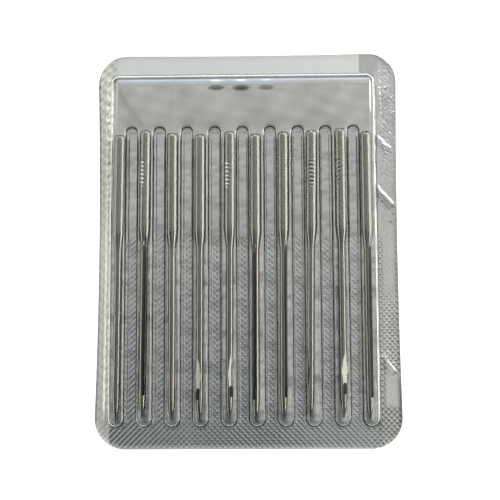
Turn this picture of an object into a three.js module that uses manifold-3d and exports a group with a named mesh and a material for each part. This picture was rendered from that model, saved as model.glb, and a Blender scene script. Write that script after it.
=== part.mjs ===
// A sealed pack of ten industrial sewing machine needles: a clear formed sheet with one
// channel for each needle and an empty chamber above their butts, a foil back, and the
// needles lying loose inside. Millimetres, +Z up. The pack lies on its foil, and the origin
// is the middle of that back.

import * as THREE from "three";
import { mergeVertices } from "three/addons/utils/BufferGeometryUtils.js";
import Module from "manifold-3d";

// Needle, measured along its axis from the butt
const SHANK_DIAMETER = 1.64;
const SHANK_LENGTH = 13.2;
const BUTT_CHAMFER = 0.25;
const TAPER_LENGTH = 2.6;
const BLADE_DIAMETER = 1.0;
const BUTT_TO_EYE = 33.9;
const EYE_LENGTH = 1.5;
const EYE_WIDTH = 0.42;
const POINT_LENGTH = 3.1;
const TIP_DIAMETER = 0.08;
const GROOVE_WIDTH = 0.36;
const GROOVE_DEPTH = 0.28;
const SCARF_LENGTH = 5.0;
const SCARF_DEPTH = 0.2;

// How each needle lies, from left to right: how far it has slid up from the lowest place
// that it can take, how far its groove is rolled from straight up, in degrees, and how far
// its butt and the lower end of its shank lean to the right, as shares of the side clearance
const NEEDLE_LIES = [
  { slid: 0.0, roll: 100, butt: 0.84, neck: 0.4 },
  { slid: 0.6, roll: 17, butt: -0.35, neck: -0.84 },
  { slid: 0.2, roll: 75, butt: -0.8, neck: -0.84 },
  { slid: 0.0, roll: 152, butt: -0.7, neck: -0.84 },
  { slid: 0.35, roll: 217, butt: 0.84, neck: 0.6 },
  { slid: 0.0, roll: -18, butt: -0.7, neck: -0.84 },
  { slid: 0.25, roll: 40, butt: -0.55, neck: -0.84 },
  { slid: 0.45, roll: 110, butt: 0.15, neck: -0.84 },
  { slid: 0.65, roll: 205, butt: 0.84, neck: 0.84 },
  { slid: 0.2, roll: 46, butt: -0.84, neck: -0.8 },
];

// Clear formed sheet
const NEEDLE_PITCH = 3.7; // from one channel to the next
const SHEET_THICKNESS = 0.2;
const SIDE_CLEARANCE = 0.19; // beside a shank, at the height of its axis
const TOP_CLEARANCE = 0.15;
const TIP_CLEARANCE = 0.3;
const WALL_LEAN = 0.115; // how far a wall leans out over each millimetre down
const SHOULDER_RADIUS = 0.3; // inside, between a wall and the flat top
const BUTT_TO_LAND_END = 0.1;
const CHAMBER_LENGTH = 8.25;
const LAND_END_RELIEF = 0.03; // how much wider a land's round end is than the land
const ROOF_DROP = 0.04; // how far the chamber's flat roof lies below the crests round it

// Flange round the formed part, and the foil sealed to it
const LEFT_FLANGE = 1.62;
const RIGHT_FLANGE = 2.84;
const TOP_FLANGE = 3.0;
const BOTTOM_FLANGE = 2.7;
const CORNER_RADIUS = 4.0;
const FOIL_THICKNESS = 0.05;
const NEEDLE_LIFT = 0.12; // clearance of the shanks above the foil

// How finely round shapes are cut into flat faces
const NEEDLE_SIDES = 14;
const POINT_STEPS = 4;
const CORNER_STEPS = 8;
const SHOULDER_STEPS = 2; // pairs of faces in the quarter circle of a shoulder
const ROUND_END_SIDES = 16;
const EYE_STEPS = 3;
const SCARF_STEPS = 5;
const GROOVE_SIDES = 8;
const OVERCUT = 1.0; // how far a cutting shape runs past what it cuts

// Sizes and places that follow from the ones above
const needleCount = NEEDLE_LIES.length;
const shankRadius = SHANK_DIAMETER / 2;
const bladeRadius = BLADE_DIAMETER / 2;
const needleLength = BUTT_TO_EYE + EYE_LENGTH + POINT_LENGTH;
const eyeMiddle = POINT_LENGTH + EYE_LENGTH / 2;

const needleAxisZ = FOIL_THICKNESS + NEEDLE_LIFT + shankRadius;
const axisHalf = shankRadius + SIDE_CLEARANCE;
const wallHalf = (z) => axisHalf + WALL_LEAN * (needleAxisZ - z);
const crestZ = needleAxisZ + shankRadius + TOP_CLEARANCE;
const springZ = crestZ - SHOULDER_RADIUS;
const footHalf = wallHalf(FOIL_THICKNESS);
const springHalf = wallHalf(springZ);
const footOuter = footHalf + SHEET_THICKNESS;
const tipSetback = footOuter - axisHalf + TIP_CLEARANCE;

const combWidth = (needleCount - 1) * NEEDLE_PITCH + 2 * footOuter;
const packWidth = LEFT_FLANGE + combWidth + RIGHT_FLANGE;
const landEndFromTip = needleLength + BUTT_TO_LAND_END;
const packLength = BOTTOM_FLANGE + tipSetback + landEndFromTip + CHAMBER_LENGTH + TOP_FLANGE;

const firstX = -packWidth / 2 + LEFT_FLANGE + footOuter;
const lastX = firstX + (needleCount - 1) * NEEDLE_PITCH;
const tipY = -packLength / 2 + BOTTOM_FLANGE + tipSetback;
const channelEndY = -packLength / 2 + BOTTOM_FLANGE + footOuter;
const landEndY = tipY + landEndFromTip;
const farWallY = landEndY + CHAMBER_LENGTH - footOuter;
const peelLineY = tipY + needleLength - SHANK_LENGTH;

const needleX = (i) => firstX + i * NEEDLE_PITCH;

const wasm = await Module();
wasm.setup();

// A closed geometry as a solid that can be joined and cut.
function solidOf(geometry) {
  geometry.deleteAttribute("normal");
  geometry.deleteAttribute("uv");
  const merged = mergeVertices(geometry);
  const corners = merged.index.array;
  const triVerts = [];
  for (let i = 0; i < corners.length; i += 3) {
    const [a, b, c] = corners.slice(i, i + 3);
    if (a !== b && b !== c && c !== a) triVerts.push(a, b, c);
  }
  return new wasm.Manifold(
    new wasm.Mesh({
      numProp: 3,
      vertProperties: merged.attributes.position.array,
      triVerts: new Uint32Array(triVerts),
    }),
  );
}

// A solid as a geometry that a mesh can show.
function geometryOf(solid) {
  const { vertProperties, triVerts } = solid.getMesh();
  const geometry = new THREE.BufferGeometry();
  geometry.setAttribute("position", new THREE.BufferAttribute(vertProperties, 3));
  geometry.setIndex(new THREE.BufferAttribute(triVerts, 1));
  geometry.computeVertexNormals();
  return geometry;
}

const joined = (solids) => solids.reduce((all, one) => all.add(one));

// A box from its lowest to its highest corner.
function block(low, high) {
  const size = high.map((value, axis) => value - low[axis]);
  const middle = high.map((value, axis) => (value + low[axis]) / 2);
  return solidOf(new THREE.BoxGeometry(...size).translate(...middle));
}

// The pack's outline, a rectangle with round corners, as a plate.
function cardPlate(bottomZ, thickness) {
  const x = packWidth / 2 - CORNER_RADIUS;
  const y = packLength / 2 - CORNER_RADIUS;
  const outline = new THREE.Shape();
  outline.absarc(x, y, CORNER_RADIUS, 0, Math.PI / 2);
  outline.absarc(-x, y, CORNER_RADIUS, Math.PI / 2, Math.PI);
  outline.absarc(-x, -y, CORNER_RADIUS, Math.PI, 1.5 * Math.PI);
  outline.absarc(x, -y, CORNER_RADIUS, 1.5 * Math.PI, 2 * Math.PI);
  const plate = new THREE.ExtrudeGeometry(outline, {
    depth: thickness,
    bevelEnabled: false,
    curveSegments: CORNER_STEPS,
  });
  return solidOf(plate.translate(0, 0, bottomZ));
}

// Half of a wall's section: out along the bottom, up the leaning wall, over the round shoulder
// and along the flat top. offset is 0 for the inside of the sheet and its thickness for the outside.
function wallSection(offset) {
  const bottomZ = FOIL_THICKNESS - OVERCUT;
  const section = new THREE.Path();
  section.moveTo(0, bottomZ);
  section.lineTo(footHalf + offset, bottomZ);
  section.lineTo(footHalf + offset, FOIL_THICKNESS);
  section.lineTo(springHalf + offset, springZ);
  section.absarc(springHalf - SHOULDER_RADIUS, springZ, SHOULDER_RADIUS + offset, 0, Math.PI / 2);
  section.lineTo(0, crestZ + offset);
  return section.getPoints(SHOULDER_STEPS);
}

// A flat-topped ridge with flat ends, between two points of the sheet.
function ridge(from, to, offset) {
  const half = wallSection(offset);
  const otherHalf = half.slice(1, -1).map((point) => new THREE.Vector2(-point.x, point.y));
  const section = new THREE.Shape([...half, ...otherHalf.reverse()]);
  const depth = from.distanceTo(to);
  const run = new THREE.ExtrudeGeometry(section, { depth, bevelEnabled: false });
  const heading = to.clone().sub(from).angle();
  return solidOf(run.rotateX(Math.PI / 2).rotateZ(heading + Math.PI / 2).translate(from.x, from.y, 0));
}

// The round end of a ridge, or the round corner between two of them.
function ridgeEnd(at, offset) {
  const dome = new THREE.LatheGeometry(wallSection(offset), ROUND_END_SIDES);
  return solidOf(dome.rotateX(Math.PI / 2).translate(at.x, at.y, 0));
}

// The hollow at a land's upper end: the walls of the two channels beside the land, carried
// round its end in a half circle.
function landEnd(x, offset) {
  const outward = NEEDLE_PITCH / 2 + LAND_END_RELIEF;
  const wall = wallSection(offset).slice(1);
  const profile = wall.map((point) => new THREE.Vector2(outward - point.x, point.y));
  const topZ = crestZ + offset + OVERCUT;
  profile.unshift(new THREE.Vector2(0, profile[0].y));
  profile.push(new THREE.Vector2(outward, topZ), new THREE.Vector2(0, topZ));
  const hollow = new THREE.LatheGeometry(profile, ROUND_END_SIDES);
  return solidOf(hollow.rotateX(Math.PI / 2).translate(x, landEndY, 0));
}

// Everything that stands up from the flange: a ridge over each needle, and the chamber's flat
// roof, which the two outer ridges and one along the far wall run round.
function raisedPart(offset) {
  const farLeft = new THREE.Vector2(firstX, farWallY);
  const farRight = new THREE.Vector2(lastX, farWallY);
  const ridges = [ridge(farLeft, farRight, offset)];
  for (let i = 0; i < needleCount; i++) {
    const outermost = i === 0 || i === needleCount - 1;
    const low = new THREE.Vector2(needleX(i), channelEndY);
    const high = new THREE.Vector2(needleX(i), outermost ? farWallY : landEndY + footOuter);
    ridges.push(ridge(low, high, offset), ridgeEnd(low, offset), ridgeEnd(high, offset));
  }
  const bottomZ = FOIL_THICKNESS - OVERCUT;
  const roofZ = crestZ + offset - ROOF_DROP;
  let roof = block([firstX, landEndY, bottomZ], [lastX, farWallY, roofZ]);
  for (let i = 0; i < needleCount - 1; i++) {
    roof = roof.subtract(landEnd(needleX(i) + NEEDLE_PITCH / 2, offset));
  }
  return joined([roof, ...ridges]);
}

// The clear sheet: flange and raised part, hollowed from below.
function clearTray() {
  const flange = cardPlate(FOIL_THICKNESS, SHEET_THICKNESS);
  const reach = packWidth + packLength;
  const below = block([-reach, -reach, -reach], [reach, reach, FOIL_THICKNESS]);
  return flange.add(raisedPart(SHEET_THICKNESS)).subtract(raisedPart(0)).subtract(below);
}

// The foil between two places along the pack.
function foilPanel(lowY, highY) {
  const strip = block([-packWidth, lowY, -OVERCUT], [packWidth, highY, OVERCUT]);
  return cardPlate(0, FOIL_THICKNESS).intersect(strip);
}

// The needle's turned shape along +Y, with its tip at the origin.
function needleBlank() {
  const profile = new THREE.Path();
  profile.moveTo(0, 0);
  profile.lineTo(TIP_DIAMETER / 2, TIP_DIAMETER / 2);
  profile.quadraticCurveTo(bladeRadius, POINT_LENGTH / 2, bladeRadius, eyeMiddle);
  profile.lineTo(bladeRadius, needleLength - SHANK_LENGTH - TAPER_LENGTH);
  profile.lineTo(shankRadius, needleLength - SHANK_LENGTH);
  profile.lineTo(shankRadius, needleLength - BUTT_CHAMFER);
  profile.lineTo(shankRadius - BUTT_CHAMFER, needleLength);
  profile.lineTo(0, needleLength);
  return solidOf(new THREE.LatheGeometry(profile.getPoints(POINT_STEPS), NEEDLE_SIDES));
}

// The long thread groove, from the eye up into the taper.
function grooveCut() {
  const top = needleLength - SHANK_LENGTH - TAPER_LENGTH / 2;
  const radius = GROOVE_WIDTH / 2;
  const groove = new THREE.CylinderGeometry(radius, radius, top - eyeMiddle, GROOVE_SIDES);
  const middleZ = bladeRadius - GROOVE_DEPTH + radius;
  return solidOf(groove.translate(0, (top + eyeMiddle) / 2, middleZ));
}

// The eye, a slot with round ends through the blade from the groove side to the scarf side.
function eyeCut() {
  const half = EYE_WIDTH / 2;
  const slot = new THREE.Shape();
  const straight = EYE_LENGTH / 2 - half;
  slot.absarc(0, eyeMiddle + straight, half, 0, Math.PI);
  slot.absarc(0, eyeMiddle - straight, half, Math.PI, 2 * Math.PI);
  const depth = BLADE_DIAMETER + 2 * OVERCUT;
  const cut = new THREE.ExtrudeGeometry(slot, { depth, bevelEnabled: false, curveSegments: EYE_STEPS });
  return solidOf(cut.translate(0, 0, -depth / 2));
}

// The scarf, a shallow arc hollowed out of the back of the blade from the eye upwards.
function scarfCut() {
  const radius = SCARF_LENGTH ** 2 / (8 * SCARF_DEPTH) + SCARF_DEPTH / 2;
  const reach = Math.asin(SCARF_LENGTH / 2 / radius);
  const hollow = new THREE.Shape();
  hollow.absarc(0, 0, radius, -reach, reach);
  const depth = BLADE_DIAMETER + 2 * OVERCUT;
  const cut = new THREE.ExtrudeGeometry(hollow, { depth, bevelEnabled: false, curveSegments: SCARF_STEPS });
  cut.translate(-radius, 0, -depth / 2).rotateY(-Math.PI / 2);
  return solidOf(cut.translate(0, eyeMiddle + SCARF_LENGTH / 2, SCARF_DEPTH - bladeRadius));
}

const clearSheet = new THREE.MeshStandardMaterial({
  color: 0xe9edee,
  roughness: 0.08,
  metalness: 0,
  transparent: true,
  opacity: 0.3,
});
const bareFoil = new THREE.MeshStandardMaterial({ color: 0xb4b7b6, roughness: 0.35, metalness: 1 });
const platedSteel = new THREE.MeshStandardMaterial({ color: 0xc9c6bd, roughness: 0.2, metalness: 1 });

const pack = new THREE.Group();

function addPiece(name, geometry, material) {
  const mesh = new THREE.Mesh(geometry, material);
  mesh.name = name;
  pack.add(mesh);
  return mesh;
}

addPiece("clear_tray", geometryOf(clearTray()), clearSheet);

// One sheet of foil, sealed below the peel line and free to fold back above it
addPiece("foil_sealed_panel", geometryOf(foilPanel(-packLength, peelLineY)), bareFoil);
addPiece("foil_peel_flap", geometryOf(foilPanel(peelLineY, packLength)), bareFoil);

const needleSolid = needleBlank().subtract(grooveCut()).subtract(eyeCut()).subtract(scarfCut());
const needleGeometry = geometryOf(needleSolid);
NEEDLE_LIES.forEach((lie, i) => {
  const number = String(i + 1).padStart(2, "0");
  const needle = addPiece(`needle_${number}`, needleGeometry, platedSteel);
  const lean = ((lie.neck - lie.butt) * SIDE_CLEARANCE) / SHANK_LENGTH;
  const tipAside = lie.butt * SIDE_CLEARANCE + lean * needleLength;
  needle.position.set(needleX(i) + tipAside, tipY + lie.slid, needleAxisZ);
  needle.rotation.set(0, THREE.MathUtils.degToRad(lie.roll), Math.atan(lean), "ZYX");
});

export default pack;
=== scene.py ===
"""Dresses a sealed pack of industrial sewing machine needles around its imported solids.

The clear formed sheet, the foil back and the needles are surfaces worked out in millimetres, in the
pack's own frame: +Y runs along the needles from their points to their butts, +Z out of the clear side.
"""

import math

import bmesh
import bpy
import numpy as np
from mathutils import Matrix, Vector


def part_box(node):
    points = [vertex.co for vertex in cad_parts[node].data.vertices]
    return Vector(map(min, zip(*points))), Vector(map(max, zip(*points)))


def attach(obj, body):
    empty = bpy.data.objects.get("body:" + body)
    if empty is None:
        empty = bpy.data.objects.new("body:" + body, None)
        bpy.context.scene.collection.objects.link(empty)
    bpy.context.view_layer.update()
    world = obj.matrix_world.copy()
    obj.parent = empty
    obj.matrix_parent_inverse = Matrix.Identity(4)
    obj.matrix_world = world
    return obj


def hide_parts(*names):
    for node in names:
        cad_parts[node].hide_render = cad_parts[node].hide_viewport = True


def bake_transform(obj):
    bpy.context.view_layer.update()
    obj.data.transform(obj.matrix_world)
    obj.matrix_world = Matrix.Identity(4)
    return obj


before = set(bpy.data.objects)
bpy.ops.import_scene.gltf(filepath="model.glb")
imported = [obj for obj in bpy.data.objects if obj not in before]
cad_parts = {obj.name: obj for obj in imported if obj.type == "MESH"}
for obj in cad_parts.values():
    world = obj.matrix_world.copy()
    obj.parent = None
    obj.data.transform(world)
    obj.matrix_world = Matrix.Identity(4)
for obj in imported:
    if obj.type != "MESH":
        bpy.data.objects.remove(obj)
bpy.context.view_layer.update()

bl_info = {
    "name": "Needle pack",
    "version": (1, 0, 0),
    "blender": (4, 5, 0),
    "location": "3D View > Sidebar > Needle pack",
    "description": "Clear formed sheet, foil back and loose sewing machine needles of a sealed pack",
    "category": "Object",
}

MM = 0.001
NEEDLES = sorted(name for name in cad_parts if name.startswith("needle_"))


def box_mm(node):
    """A node's lowest and highest corner in millimetres."""
    low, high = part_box(node)
    return np.array(low) / MM, np.array(high) / MM


# Places that the frame gives, in millimetres
TRAY_LOW, TRAY_HIGH = box_mm("clear_tray")
PEEL_Y = box_mm("foil_sealed_panel")[1][1]
FOIL_TOP = box_mm("foil_sealed_panel")[1][2]

# Formed sheet, in millimetres, as the part's source has it
SIDE_CLEARANCE = 0.19
HALF_CHANNEL = 0.933
SHOULDER_RADIUS = 0.3
FOOT_SPREAD = 0.185
SHEET_THICKNESS = 0.2
HALF_PITCH = 1.85
CHAMBER_LENGTH = 8.25
LEFT_FLANGE = 1.62
RIGHT_FLANGE = 2.84
TOP_FLANGE = 3.0
BOTTOM_FLANGE = 2.7
CORNER_RADIUS = 4.0
# Slope of the channels' crowned tops where they meet the shoulders
CREST_TILT = math.radians(8.0)
FOOT_OUTER = HALF_CHANNEL + FOOT_SPREAD + SHEET_THICKNESS
SHOULDER_X = HALF_CHANNEL - SHOULDER_RADIUS
CREST_RISE = 0.5 * math.tan(CREST_TILT) * (SHOULDER_X + SHOULDER_RADIUS * math.sin(CREST_TILT))
SPRING_Z = TRAY_HIGH[2] - SHEET_THICKNESS - CREST_RISE - SHOULDER_RADIUS * math.cos(CREST_TILT)
FIRST_X = TRAY_LOW[0] + LEFT_FLANGE + FOOT_OUTER
LAST_X = TRAY_HIGH[0] - RIGHT_FLANGE - FOOT_OUTER
CHANNEL_END_Y = TRAY_LOW[1] + BOTTOM_FLANGE + FOOT_OUTER
FAR_WALL_Y = TRAY_HIGH[1] - TOP_FLANGE - FOOT_OUTER
LAND_END_Y = FAR_WALL_Y + FOOT_OUTER - CHAMBER_LENGTH
RIDGE_X = np.linspace(FIRST_X, LAST_X, len(NEEDLES))
# How far the flange's edges are drawn in between its corners
WAIST_LEFT = 0.33
WAIST_RIGHT = 0.22
WAIST_TOP = 0.2
WAIST_REACH = 22.0

# Needle, in millimetres from its tip
SHANK_RADIUS = 0.82
BLADE_RADIUS = 0.5
TIP_RADIUS = 0.04
NEEDLE_LENGTH = 38.5
SHANK_LENGTH = 13.2
SHANK_START = NEEDLE_LENGTH - SHANK_LENGTH
TAPER_START = SHANK_START - 2.6
TAPER_BLEND = 0.3
BUTT_ROUND = 0.38
BUTT_LENGTH = 0.6
POINT_PULL = 1.55
EYE_MIDDLE = 3.85
EYE_HALF_LENGTH = 0.75
EYE_HALF_WIDTH = 0.21
GROOVE_HALF_WIDTH = 0.18
GROOVE_DEPTH = 0.28
SCARF_DEPTH = 0.2
SCARF_LENGTH = 5.0
# Roll in degrees, then how far butt and neck lean to the right as shares of the side clearance
NEEDLE_LIES = (
    (100, 0.84, 0.4),
    (17, -0.35, -0.84),
    (75, -0.8, -0.84),
    (152, -0.7, -0.84),
    (217, 0.84, 0.6),
    (-18, -0.7, -0.84),
    (40, -0.55, -0.84),
    (110, 0.15, -0.84),
    (205, 0.84, 0.84),
    (46, -0.84, -0.8),
)
# Needles whose stamped ticks can be seen: the ticks' place round the shank in degrees from straight up,
# and the painted shade on them, a painted highlight where that is negative
STAMPED = {1: (-30, -0.8), 4: (-28, -0.8), 7: (2, 0.3), 8: (-34, 0.6)}


# Values that a user would change


class NeedlePackSizes(bpy.types.PropertyGroup):
    """Sizes of the pieces"""

    foot_fillet: bpy.props.FloatProperty(
        name="Foot fillet", description="Radius where a wall runs into the flange",
        default=0.16 * MM, unit="LENGTH", precision=5)
    roof_sag: bpy.props.FloatProperty(
        name="Roof sag", description="How far the middle of the chamber's roof sinks",
        default=0.08 * MM, unit="LENGTH", precision=5)
    wall_waver: bpy.props.FloatProperty(
        name="Wall waver", description="How far the formed walls wander from straight",
        default=0.01 * MM, unit="LENGTH", precision=6)
    foil_thickness: bpy.props.FloatProperty(
        name="Foil thickness", description="Thickness of the foil back",
        default=0.012 * MM, unit="LENGTH", precision=6)
    knurl_pitch: bpy.props.FloatProperty(
        name="Knurl pitch", description="Distance between two lines of the seal's knurl",
        default=0.52 * MM, unit="LENGTH", precision=5)
    knurl_depth: bpy.props.FloatProperty(
        name="Knurl depth", description="Height of the seal's knurl from valley to crest",
        default=0.044 * MM, unit="LENGTH", precision=6)


class NeedlePackColours(bpy.types.PropertyGroup):
    """Colours of the pieces"""

    clear_tint: bpy.props.FloatVectorProperty(
        name="Clear sheet", description="Tint of the clear sheet", subtype="COLOR",
        size=3, min=0, max=1, default=(0.965, 0.975, 0.98))
    foil: bpy.props.FloatVectorProperty(
        name="Foil", description="Bare foil", subtype="COLOR",
        size=3, min=0, max=1, default=(0.80, 0.80, 0.80))
    open_foil: bpy.props.FloatVectorProperty(
        name="Open foil", description="Foil under the channels, between the sealed lands", subtype="COLOR",
        size=3, min=0, max=1, default=(0.88, 0.86, 0.85))
    sealed_foil: bpy.props.FloatVectorProperty(
        name="Sealed foil", description="Foil where the heat seal holds it to the sheet", subtype="COLOR",
        size=3, min=0, max=1, default=(0.78, 0.805, 0.81))
    # Duller foil along the left edge; its cream tint is a painted reflection of the warm side light
    side_foil_and_reflection: bpy.props.FloatVectorProperty(
        name="Side foil", description="Dull foil along the left edge", subtype="COLOR",
        size=3, min=0, max=1, default=(0.95, 0.96, 0.84))
    pale_strip: bpy.props.FloatVectorProperty(
        name="Pale strip", description="Smooth strip of foil along the top edge", subtype="COLOR",
        size=3, min=0, max=1, default=(0.83, 0.816, 0.793))
    needle_steel: bpy.props.FloatVectorProperty(
        name="Needle steel", description="Plated needles", subtype="COLOR",
        size=3, min=0, max=1, default=(0.325, 0.318, 0.287))
    floor: bpy.props.FloatVectorProperty(
        name="Floor", description="Floor under the pack", subtype="COLOR",
        size=3, min=0, max=1, default=(0.9, 0.9, 0.9))


class NeedlePack(bpy.types.PropertyGroup):
    """All values of the pack"""

    sizes: bpy.props.PointerProperty(
        type=NeedlePackSizes, name="Sizes", description="Sizes of the pieces")
    colours: bpy.props.PointerProperty(
        type=NeedlePackColours, name="Colours", description="Colours of the pieces")


def user_sizes():
    """The sizes as they are set now."""
    return bpy.context.scene.needle_pack.sizes


def user_colours():
    """The colours as they are set now."""
    return bpy.context.scene.needle_pack.colours


# Arithmetic on whole arrays


def ease(low, high, value):
    """A smooth step: 0 up to low, 1 from high on, 3t^2 - 2t^3 in between."""
    share = np.clip((value - low) / (high - low), 0.0, 1.0)
    return share * share * (3.0 - 2.0 * share)


def plateau(start, full, fade, end, value):
    """A smooth table: 0 up to start, 1 from full to fade, and 0 again from end on."""
    return ease(start, full, value) * (1.0 - ease(fade, end, value))


def hill(middle, half_width, value):
    """A smooth hill: 1 at the middle, 0 from half_width away on either side."""
    return 1.0 - ease(0.0, half_width, np.abs(value - middle))


def ripple(x, y, waves):
    """Sum of sines, each given as a share, a wavelength, a heading in degrees and a phase."""
    total = np.zeros(np.broadcast(x, y).shape)
    for share, length, heading, phase in waves:
        along = x * math.cos(math.radians(heading)) + y * math.sin(math.radians(heading))
        total += share * np.sin(2.0 * math.pi * along / length + phase)
    return total


def channel_ripple(y, order, waves):
    """Sum of sines along Y, each given as a share, radians in a millimetre and a shift for each channel."""
    return sum(share * np.sin(rate * y + shift * order) for share, rate, shift in waves)


def rounded(a, b, full, none):
    """The factor that turns concentric squares of half-side max(a, b) into circles of that radius.

    It acts in full up to the size full and fades to none at the size none.
    """
    side = np.maximum(np.abs(a), np.abs(b))
    radius = np.maximum(np.hypot(a, b), 1e-9)
    return 1.0 + (1.0 - ease(full, none, side)) * (side / radius - 1.0)


def grid_quads(rows, columns, wrap=False):
    """Corner numbers of the cells of a grid of rows by columns points, closed round the columns if wrap."""
    number = np.arange(rows * columns).reshape(rows, columns)
    right = np.roll(number, -1, axis=1)
    cells = np.stack([number[:-1], right[:-1], right[1:], number[1:]], axis=-1)
    return (cells if wrap else cells[:, :-1]).reshape(-1, 4)


def border(quads):
    """The directed edges that only one of the quads has."""
    edges = np.stack([quads, np.roll(quads, -1, axis=1)], axis=-1).reshape(-1, 2)
    _, place, count = np.unique(np.sort(edges, axis=1), axis=0, return_index=True, return_counts=True)
    return edges[place[count == 1]]


def skinned(upper, lower, inside):
    """Two surfaces on one grid as a closed shell: the upper one, the lower one turned over, and the rim.

    Cells with no point inside the outline are left out.
    """
    quads = grid_quads(*inside.shape)
    quads = quads[inside.reshape(-1)[quads].any(axis=1)]
    points = np.concatenate([upper.reshape(-1, 3), lower.reshape(-1, 3)])
    shift = inside.size
    rim = border(quads)
    walls = np.stack([rim[:, 1], rim[:, 0], rim[:, 0] + shift, rim[:, 1] + shift], axis=-1)
    return points, np.concatenate([quads, quads[:, ::-1] + shift, walls])


def card_outline(x, y):
    """Points with those outside the round corners drawn in along the radius; inside tells which stayed."""
    middle_x = TRAY_HIGH[0] - CORNER_RADIUS
    middle_y = TRAY_HIGH[1] - CORNER_RADIUS
    a = np.maximum(np.abs(x) - middle_x, 0.0)
    b = np.maximum(np.abs(y) - middle_y, 0.0)
    radius = np.hypot(a, b)
    inside = radius < CORNER_RADIUS - 1e-6
    shrink = np.minimum(1.0, CORNER_RADIUS / np.maximum(radius, 1e-9))
    new_x = np.sign(x) * (np.minimum(np.abs(x), middle_x) + a * shrink)
    new_y = np.sign(y) * (np.minimum(np.abs(y), middle_y) + b * shrink)
    return new_x, new_y, inside


def waisted(x, y):
    """Flange points drawn in to the formed part, in step with their share of the flange.

    They move most midway between the corners, by a parabola along each edge.
    """
    midway = np.clip(1.0 - (y / WAIST_REACH) ** 2, 0.0, 1.0)
    left = np.clip((FIRST_X - FOOT_OUTER - x) / LEFT_FLANGE, 0.0, 1.0)
    right = np.clip((x - LAST_X - FOOT_OUTER) / RIGHT_FLANGE, 0.0, 1.0)
    top = np.clip((y - FAR_WALL_Y - FOOT_OUTER) / TOP_FLANGE, 0.0, 1.0)
    middle = np.clip(1.0 - (x / TRAY_HIGH[0]) ** 2, 0.0, 1.0)
    return x + midway * (WAIST_LEFT * left - WAIST_RIGHT * right), y - WAIST_TOP * top * middle


def edge_distance(x, y):
    """Distance inwards from the pack's outline with its round corners."""
    a = np.abs(x) - (TRAY_HIGH[0] - CORNER_RADIUS)
    b = np.abs(y) - (TRAY_HIGH[1] - CORNER_RADIUS)
    outside = np.hypot(np.maximum(a, 0.0), np.maximum(b, 0.0))
    return CORNER_RADIUS - outside - np.minimum(np.maximum(a, b), 0.0)


def make_piece(name, points, quads, material, sharp_degrees, values=None):
    """A mesh object from points in millimetres, with loose points dropped, doubles welded, faces smoothed.

    values holds one number for each point under each name that the material reads as an attribute.
    """
    used, numbers = np.unique(quads, return_inverse=True)
    mesh = bpy.data.meshes.new(name)
    mesh.from_pydata((points[used] * MM).tolist(), [], numbers.reshape(quads.shape).tolist())
    for attribute, point_values in (values or {}).items():
        layer = mesh.attributes.new(attribute, "FLOAT", "POINT")
        layer.data.foreach_set("value", point_values[used].astype(np.float32))
    work = bmesh.new()
    work.from_mesh(mesh)
    bmesh.ops.remove_doubles(work, verts=work.verts, dist=1e-8)
    bmesh.ops.dissolve_degenerate(work, edges=work.edges, dist=1e-8)
    work.to_mesh(mesh)
    work.free()
    mesh.polygons.foreach_set("use_smooth", np.ones(len(mesh.polygons), dtype=bool))
    mesh.set_sharp_from_angle(angle=math.radians(sharp_degrees))
    mesh.materials.append(material)
    piece = bpy.data.objects.new(name, mesh)
    bpy.context.scene.collection.objects.link(piece)
    return piece


# Bend of the side flanges, which the sheet and the foil share

# Along the pack: where the bend starts, is full, fades and ends
BEND_RUN = (-25.0, -20.0, 21.0, 25.0)
# In from the left edge: a gentle slope, a step with its height and place, and where both fall off
LEFT_SLOPE = 0.04
LEFT_STEP = 0.22
LEFT_STEP_SPAN = (0.95, 1.47)
LEFT_FALL_SPAN = (1.68, 2.0)
# In from the right edge: an even climb with its height and length, and where it falls off
RIGHT_CLIMB = 0.15
RIGHT_CLIMB_LENGTH = 2.7
RIGHT_FALL_SPAN = (2.8, 3.15)


def left_bend(x):
    """Height of the left flange's bend: a gentle climb, a steep step, and a fall under the outer wall."""
    from_left = x - TRAY_LOW[0]
    climb = LEFT_SLOPE * from_left + LEFT_STEP * ease(*LEFT_STEP_SPAN, from_left)
    return climb * (1.0 - ease(*LEFT_FALL_SPAN, from_left))


def flange_lift(x, y):
    """How far the side flanges and their foil are bent up towards each outer wall."""
    from_right = TRAY_HIGH[0] - x
    right = np.clip(from_right / RIGHT_CLIMB_LENGTH, 0.0, 1.0) * (1.0 - ease(*RIGHT_FALL_SPAN, from_right))
    return plateau(*BEND_RUN, y) * (left_bend(x) + RIGHT_CLIMB * right)


# The clear formed sheet

CREST_STEPS = 4
SHOULDER_STEPS = 7
WALL_STEPS = 3
FILLET_STEPS = 4
LAND_STEPS = 3
FLANGE_STEPS = 6
STRAIGHT_STEPS = 50
CHAMBER_STEPS = 7
# Sizes up to which a channel's end and a land's end are full circles
CHANNEL_ROUND = 1.42
LAND_ROUND = 1.5
# Where the chamber's roof sags: from the lands' ends, from the far wall and from its sides
SAG_START = 1.2
SAG_FULL = 3.4
SAG_FAR = 2.2
SAG_SIDE = 3.0
SAG_WAVES = ((0.6, 9.0, 20, 0.3), (0.4, 5.2, 75, 1.1))
# Waver of the walls along the channels, and the reach from a ridge's middle line up to which it is full
WAVER_WAVES = ((1.0, 2.0 * math.pi / 6.1, 2.3), (0.6, 2.0 * math.pi / 2.7, 4.1))
WAVER_REACH = 1.3
# Width and share of the thickness by which the sheet's cut edge is rounded down
CUT_WIDTH = 0.18
CUT_SHARE = 0.6


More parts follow.
